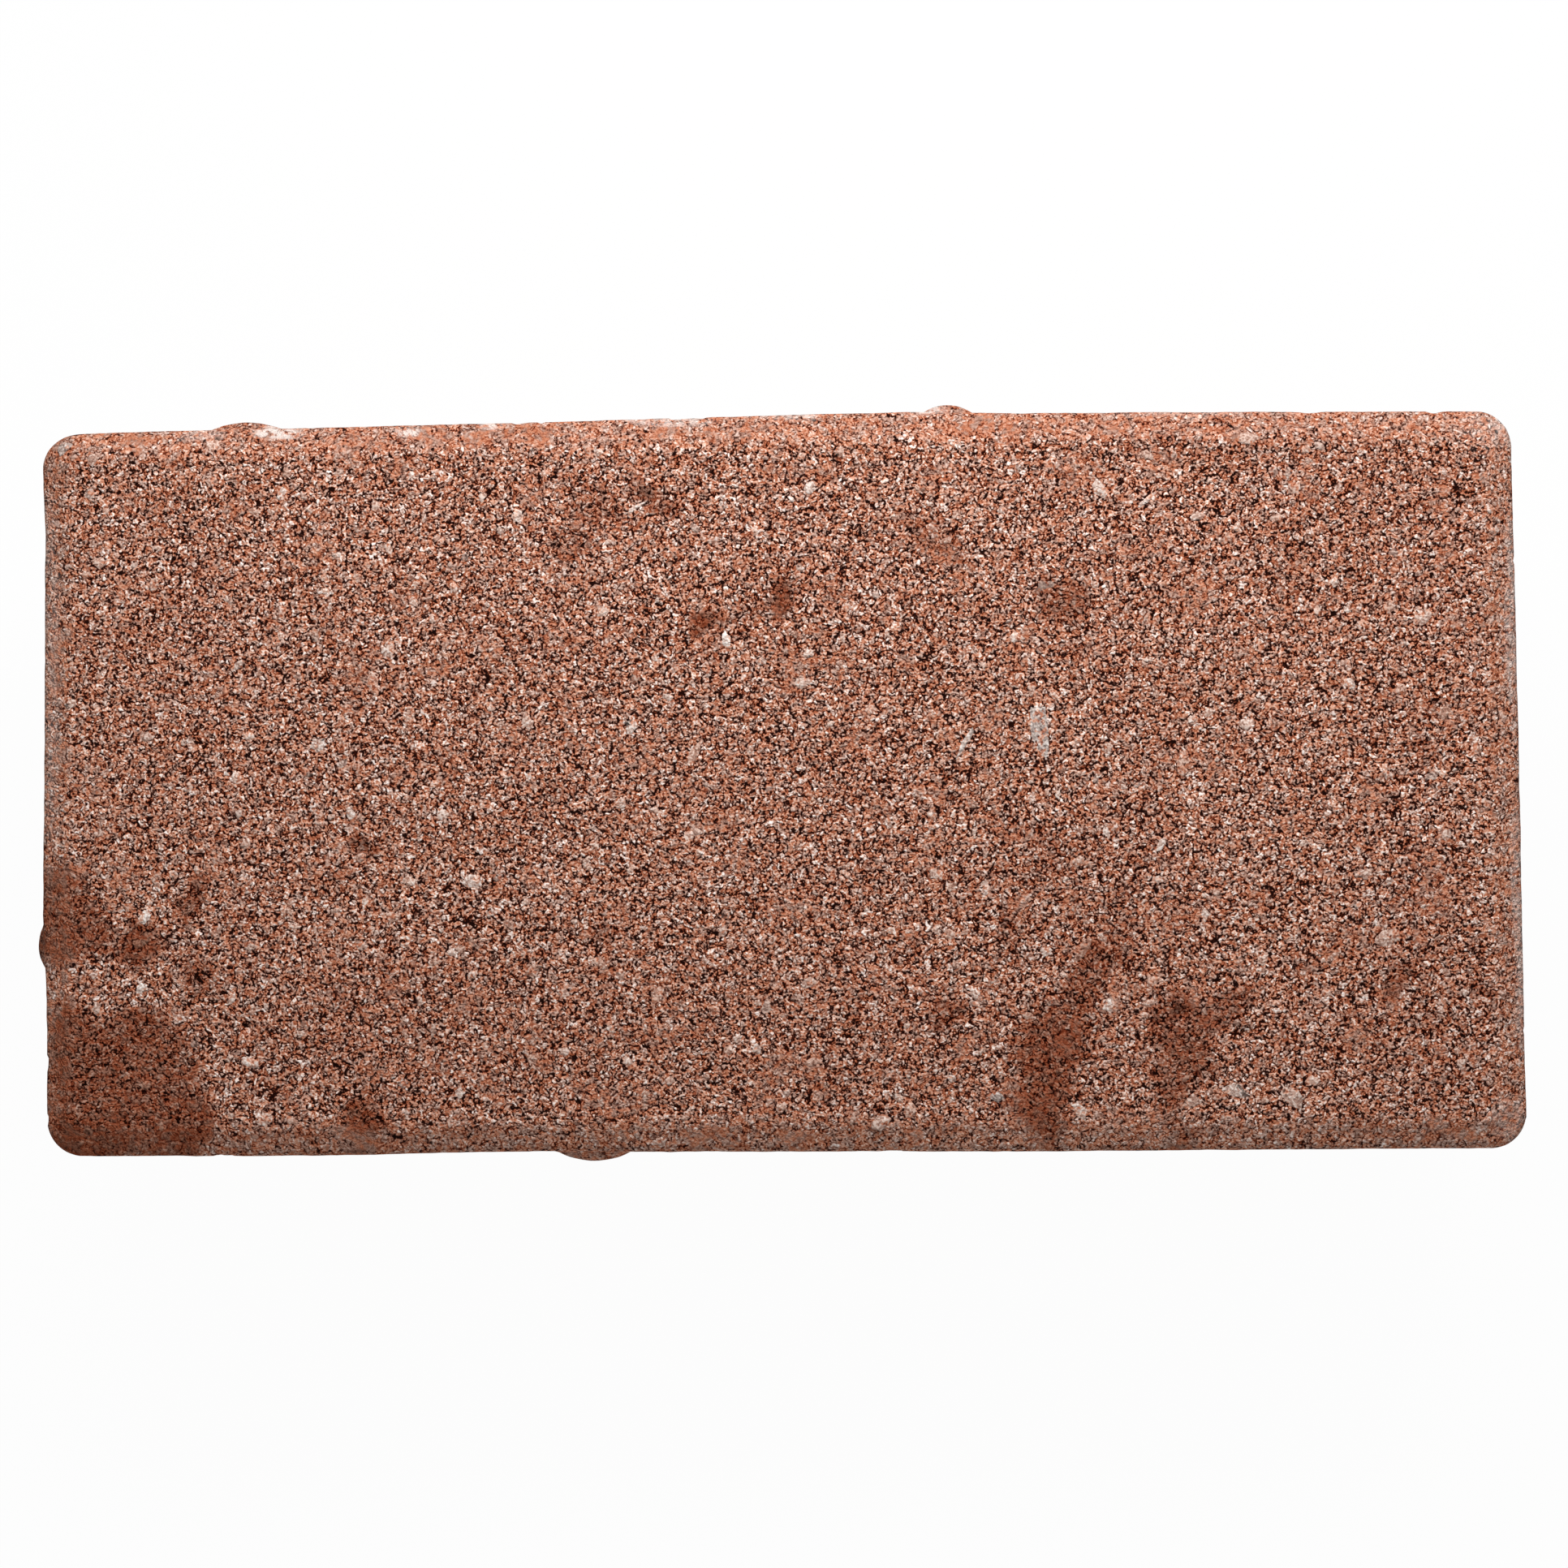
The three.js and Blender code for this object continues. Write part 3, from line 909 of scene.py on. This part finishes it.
def weather_group():
    """Damp stains and lime bloom over a colour. Damp and Bloom are from 0 to 1."""
    tree, given, out = new_group("weather", ("Colour", "Damp", "Bloom", "Place"), ("Colour",))
    wet = mixed(tree, given["Damp"], given["Colour"], DAMP_FILTER, "MULTIPLY")
    patchy = between(tree, noise(tree, given["Place"], size=0.9, detail=3.0), 0.36, 0.56)
    share = maths(tree, "MULTIPLY", given["Bloom"], patchy)
    feed(out["Colour"], mixed(tree, share, wet, LIME))
    return tree


# -------- finishes

# Colours from dark to pale: place, red, green, blue
WARM_TONES = ((0.0, 34, 10, 5), (0.15, 102, 40, 22), (0.30, 156, 82, 52), (0.48, 191, 119, 87),
              (0.64, 212, 154, 127), (0.80, 234, 194, 174), (1.0, 252, 232, 220))
GREY_TONES = ((0.0, 24, 10, 8), (0.15, 74, 46, 38), (0.30, 130, 97, 84), (0.48, 164, 134, 121),
              (0.64, 192, 165, 153), (0.80, 222, 201, 193), (1.0, 250, 241, 236))
STONE_PALE = ((0.0, 70, 44, 36), (0.35, 168, 124, 106), (0.65, 214, 182, 166),
              (1.0, 250, 240, 232))
STONE_GREY = ((0.0, 60, 56, 54), (0.35, 146, 132, 126), (0.65, 196, 182, 174),
              (1.0, 246, 243, 240))
DAMP_FILTER = (0.52, 0.36, 0.29, 1)     # what is left of each colour where the stone is damp
LIME = paint(226, 212, 204)
# Painted shade round a stone's foot
FOOT_SHADE = paint(40, 12, 7)
FACE_TONE = 0.357           # before its speckle
CALM_TONE = 0.47            # of smooth and moulded places
STONE_TONE_SHIFT = -0.12    # takes back what the speckle adds to a stone's tone
SPECULAR = 0.02             # dry concrete hardly shines
FACE_BUMP = 0.0002          # metres
STONE_BUMP = 0.00012


def start_material(name, roughness):
    """A new material with its tree, its main shader and places in millimetres."""
    material = bpy.data.materials.new(name)
    material.use_nodes = True
    tree = material.node_tree
    shader = tree.nodes["Principled BSDF"]
    shader.inputs["Roughness"].default_value = roughness
    shader.inputs["Specular IOR Level"].default_value = SPECULAR
    place = vectors(tree, "SCALE", add(tree, "TexCoord")["Object"], 1 / MM)
    return material, tree, shader, place


def finish_material(tree, shader, colour, height, bump_height):
    """Gives the shader its colour and its bump."""
    feed(shader.inputs["Base Color"], colour)
    bump = add(tree, "Bump", {"Distance": bump_height, "Height": height})
    feed(shader.inputs["Normal"], bump["Normal"])


def speckle(tree, place, cracks):
    """The speckle that face and stones share: short crevices, broken outlines of larger
    crumbs, and fine dust of pale and dark specks."""
    fine = place_group(tree, cracks, Place=place, Size=0.70, Width=0.100)
    crumbs = place_group(tree, cracks, Place=place, Size=2.4, Width=0.030)
    dust = between(tree, noise(tree, place, size=0.34, detail=0.0), 0.40, 0.60)
    return fine, crumbs, dust


def red_concrete(grains, cracks, weather):
    """Red concrete of packed sand: dust of pale and dark specks, sand grains, crevices with
    painted shade in them and painted highlights on their edges, broken outlines of larger crumbs
    done the same way, and a little painted shade in the hollows. The chamfer gets a lighter tone,
    which is painted light. Moulded walls, the chamfer, smooth patches and damp places are calmer
    than the rest, and the walls' pores are darkened with painted shade."""
    material, tree, shader, place = start_material("red_concrete", roughness=0.92)
    wall, chamfer, hollow = (mark(tree, name) for name in ("wall", "chamfer", "hollow"))
    damp, bloom = mark(tree, "damp"), mark(tree, "bloom")
    fine, crumbs, dust = speckle(tree, place, cracks)
    sand = place_group(tree, grains, Place=place, Size=0.6, Bend=0.6, Width=0.30)
    mottle = noise(tree, place, size=6.0, detail=3.0)
    pale_sand = between(tree, sand["Tone"], 0.86, 0.97)
    # Painted shade: the crevice masks, the sand's gaps and hollow darken the tone; painted
    # highlights: the crevices' edges lighten it
    lively = summed(tree, (sand["Tone"], 0.08), (dust, 0.32), (mottle, 0.03), (pale_sand, 0.12),
                    (sand["Gap_shade"], -0.12), (fine["Line"], -0.64), (fine["Highlight"], 0.34),
                    (crumbs["Line"], -0.50), (crumbs["Highlight"], 0.24), (hollow, -0.02),
                    # Painted light: the chamfer's tone is lighter all round
                    (chamfer, 0.09), (FACE_TONE, 1.0))
    smooth_patch = between(tree, noise(tree, place, size=4.5), 0.52, 0.72)
    calm = summed(tree, (smooth_patch, 0.45), (chamfer, 0.30), (wall, 0.40), (damp, 0.25))
    calm = maths(tree, "MINIMUM", calm, 0.8)
    drawn = vectors(tree, "MULTIPLY", place, (1, 1, 0.08))
    drag = maths(tree, "MULTIPLY", wall, noise(tree, drawn, size=1.3, detail=3.0))
    rest = summed(tree, (drag, 0.25), (wall, -0.12), (CALM_TONE, 1.0))
    tone = add(tree, "Mix", {0: calm, 2: lively, 3: rest})[0]
    # Painted shade: the walls' pores are darker in tone, besides being sunk by the bump
    pore = between(tree, noise(tree, place, size=2.2, detail=3.0), 0.63, 0.68)
    pore = maths(tree, "MULTIPLY", wall, pore)
    tone = summed(tree, (pore, -0.38), (tone, 1.0))
    greyness = between(tree, noise(tree, place, size=1.0), 0.40, 0.62, 0.10, 0.80)
    colour = mixed(tree, greyness, ramp(tree, tone, WARM_TONES), ramp(tree, tone, GREY_TONES))
    worn = place_group(tree, weather, Colour=colour, Damp=damp, Bloom=bloom, Place=place)
    height = summed(tree, (fine["Dome"], 0.4), (sand["Dome"], 0.3), (dust, 0.3),
                    (crumbs["Dome"], 0.5), (pore, -1.2))
    finish_material(tree, shader, worn["Colour"], height, FACE_BUMP)
    return material


def broken_stone(cracks, weather):
    """Crushed stone, each piece with its own tone and the face's speckle at less strength, with
    its painted crevice shade and highlights, smears of red paste over it and here and there
    painted shade round its foot."""
    material, tree, shader, place = start_material("broken_stone", roughness=0.85)
    fine, crumbs, dust = speckle(tree, place, cracks)
    # Painted shade in the speckle's crevices and painted highlights on their edges
    tone = summed(tree, (mark(tree, "stone_tone"), 1.0), (dust, 0.26), (fine["Line"], -0.24),
                  (fine["Highlight"], 0.16), (crumbs["Line"], -0.20), (STONE_TONE_SHIFT, 1.0))
    stone = mixed(tree, mark(tree, "stone_greyness"), ramp(tree, tone, STONE_PALE),
                  ramp(tree, tone, STONE_GREY))
    paste = between(tree, noise(tree, place, size=0.9), 0.54, 0.62, 0.0, 0.8)
    colour = mixed(tree, paste, stone, ramp(tree, tone, WARM_TONES))
    # Painted shade round the stone's foot, on its skirt, here and there
    gate = between(tree, noise(tree, place, size=0.8, detail=1.0), 0.42, 0.54)
    rim = maths(tree, "MULTIPLY", between(tree, mark(tree, "rim"), 0.2, 0.7), gate)
    colour = mixed(tree, rim, colour, FOOT_SHADE)
    damp = mark(tree, "damp")
    worn = place_group(tree, weather, Colour=colour, Damp=damp, Bloom=0.0, Place=place)
    height = summed(tree, (fine["Dome"], 0.3), (dust, 0.3))
    finish_material(tree, shader, worn["Colour"], height, STONE_BUMP)
    return material


# -------- stage, in metres and degrees

WHITE = (1, 1, 1, 1)
CAMERA_LENS = 77.12
CAMERA_PLACE = (0.02182, -0.01999, 0.50645)
CAMERA_TURN = (2.519, 2.64, -0.54)
FLOOR_SIZE = 8
FLOOR_DROP = 0.0001         # keeps the floor clear of the stone
FLOOR_SHADE = 0.8
FLOOR_GLOW = 0.97           # share of plain white in the floor that the camera sees
ROOM_LIGHT = 0.26

# Lamps: name, size, watts, place, turn from facing down
LAMPS = (
    ("north_window", (0.30, 0.16), 1.62, (0.03, 0.25, 0.293), (-47, 0, -6)),
    ("south_fill", (0.30, 0.04), 0.34, (0, -0.45, 0.03), (90, 0, 0)),
)


def put(data, place, turn):
    """Stands a camera or lamp at its place, turned from facing down."""
    thing = bpy.data.objects.new(data.name, data)
    thing.location = place
    thing.rotation_euler = [math.radians(a) for a in turn]
    bpy.context.scene.collection.objects.link(thing)
    return thing


def place_camera():
    """Looks down on the wearing face, a little off the upright."""
    data = bpy.data.cameras.new("camera")
    data.lens = CAMERA_LENS
    data.clip_start = 0.01
    data.clip_end = 20
    bpy.context.scene.camera = put(data, CAMERA_PLACE, CAMERA_TURN)


def empty_tree(owner):
    """The node tree of a material or world, with nothing in it."""
    owner.use_nodes = True
    owner.node_tree.nodes.clear()
    return owner.node_tree


def seen_directly(tree):
    """1 where the camera looks straight or through a mirror or glass, otherwise 0."""
    path = add(tree, "LightPath")
    seen = maths(tree, "MAXIMUM", path["Is Camera Ray"], path["Is Glossy Ray"])
    return maths(tree, "MAXIMUM", seen, path["Is Transmission Ray"])


def make_floor():
    """A pale level floor that keeps a faint shadow and otherwise shows white."""
    bpy.ops.mesh.primitive_plane_add(size=FLOOR_SIZE, location=(0, 0, -FLOOR_DROP))
    floor = bpy.context.object
    floor.name = "floor"
    material = bpy.data.materials.new("floor")
    tree = empty_tree(material)
    diffuse = add(tree, "BsdfDiffuse", {"Color": (FLOOR_SHADE, FLOOR_SHADE, FLOOR_SHADE, 1)})
    glow = add(tree, "Emission", {"Color": WHITE})
    share = maths(tree, "MULTIPLY", seen_directly(tree), FLOOR_GLOW)
    mix = add(tree, "MixShader", {0: share, 1: diffuse[0], 2: glow[0]})
    add(tree, "OutputMaterial", {"Surface": mix[0]})
    floor.data.materials.append(material)


def make_lamps():
    """Soft rectangular lamps."""
    for name, size, watts, place, turn in LAMPS:
        data = bpy.data.lights.new(name, "AREA")
        data.shape = "RECTANGLE"
        data.size, data.size_y = size
        data.energy = watts
        put(data, place, turn)


def make_room():
    """Pale light from all round, white where the camera sees it."""
    world = bpy.data.worlds.new("studio")
    bpy.context.scene.world = world
    tree = empty_tree(world)
    dim = add(tree, "Background", {"Color": WHITE, "Strength": ROOM_LIGHT})
    white = add(tree, "Background", {"Color": WHITE})
    mix = add(tree, "MixShader", {0: seen_directly(tree), 1: dim[0], 2: white[0]})
    add(tree, "OutputWorld", {"Surface": mix[0]})


stone = cast_stone()
gravel = exposed_stones()
cracks_group = broken_cracks_group()
weathering = weather_group()
stone.data.materials.append(red_concrete(packed_grains_group(), cracks_group, weathering))
gravel.data.materials.append(broken_stone(cracks_group, weathering))
place_camera()
make_floor()
make_lamps()
make_room()
bpy.context.scene.view_settings.view_transform = "Standard"
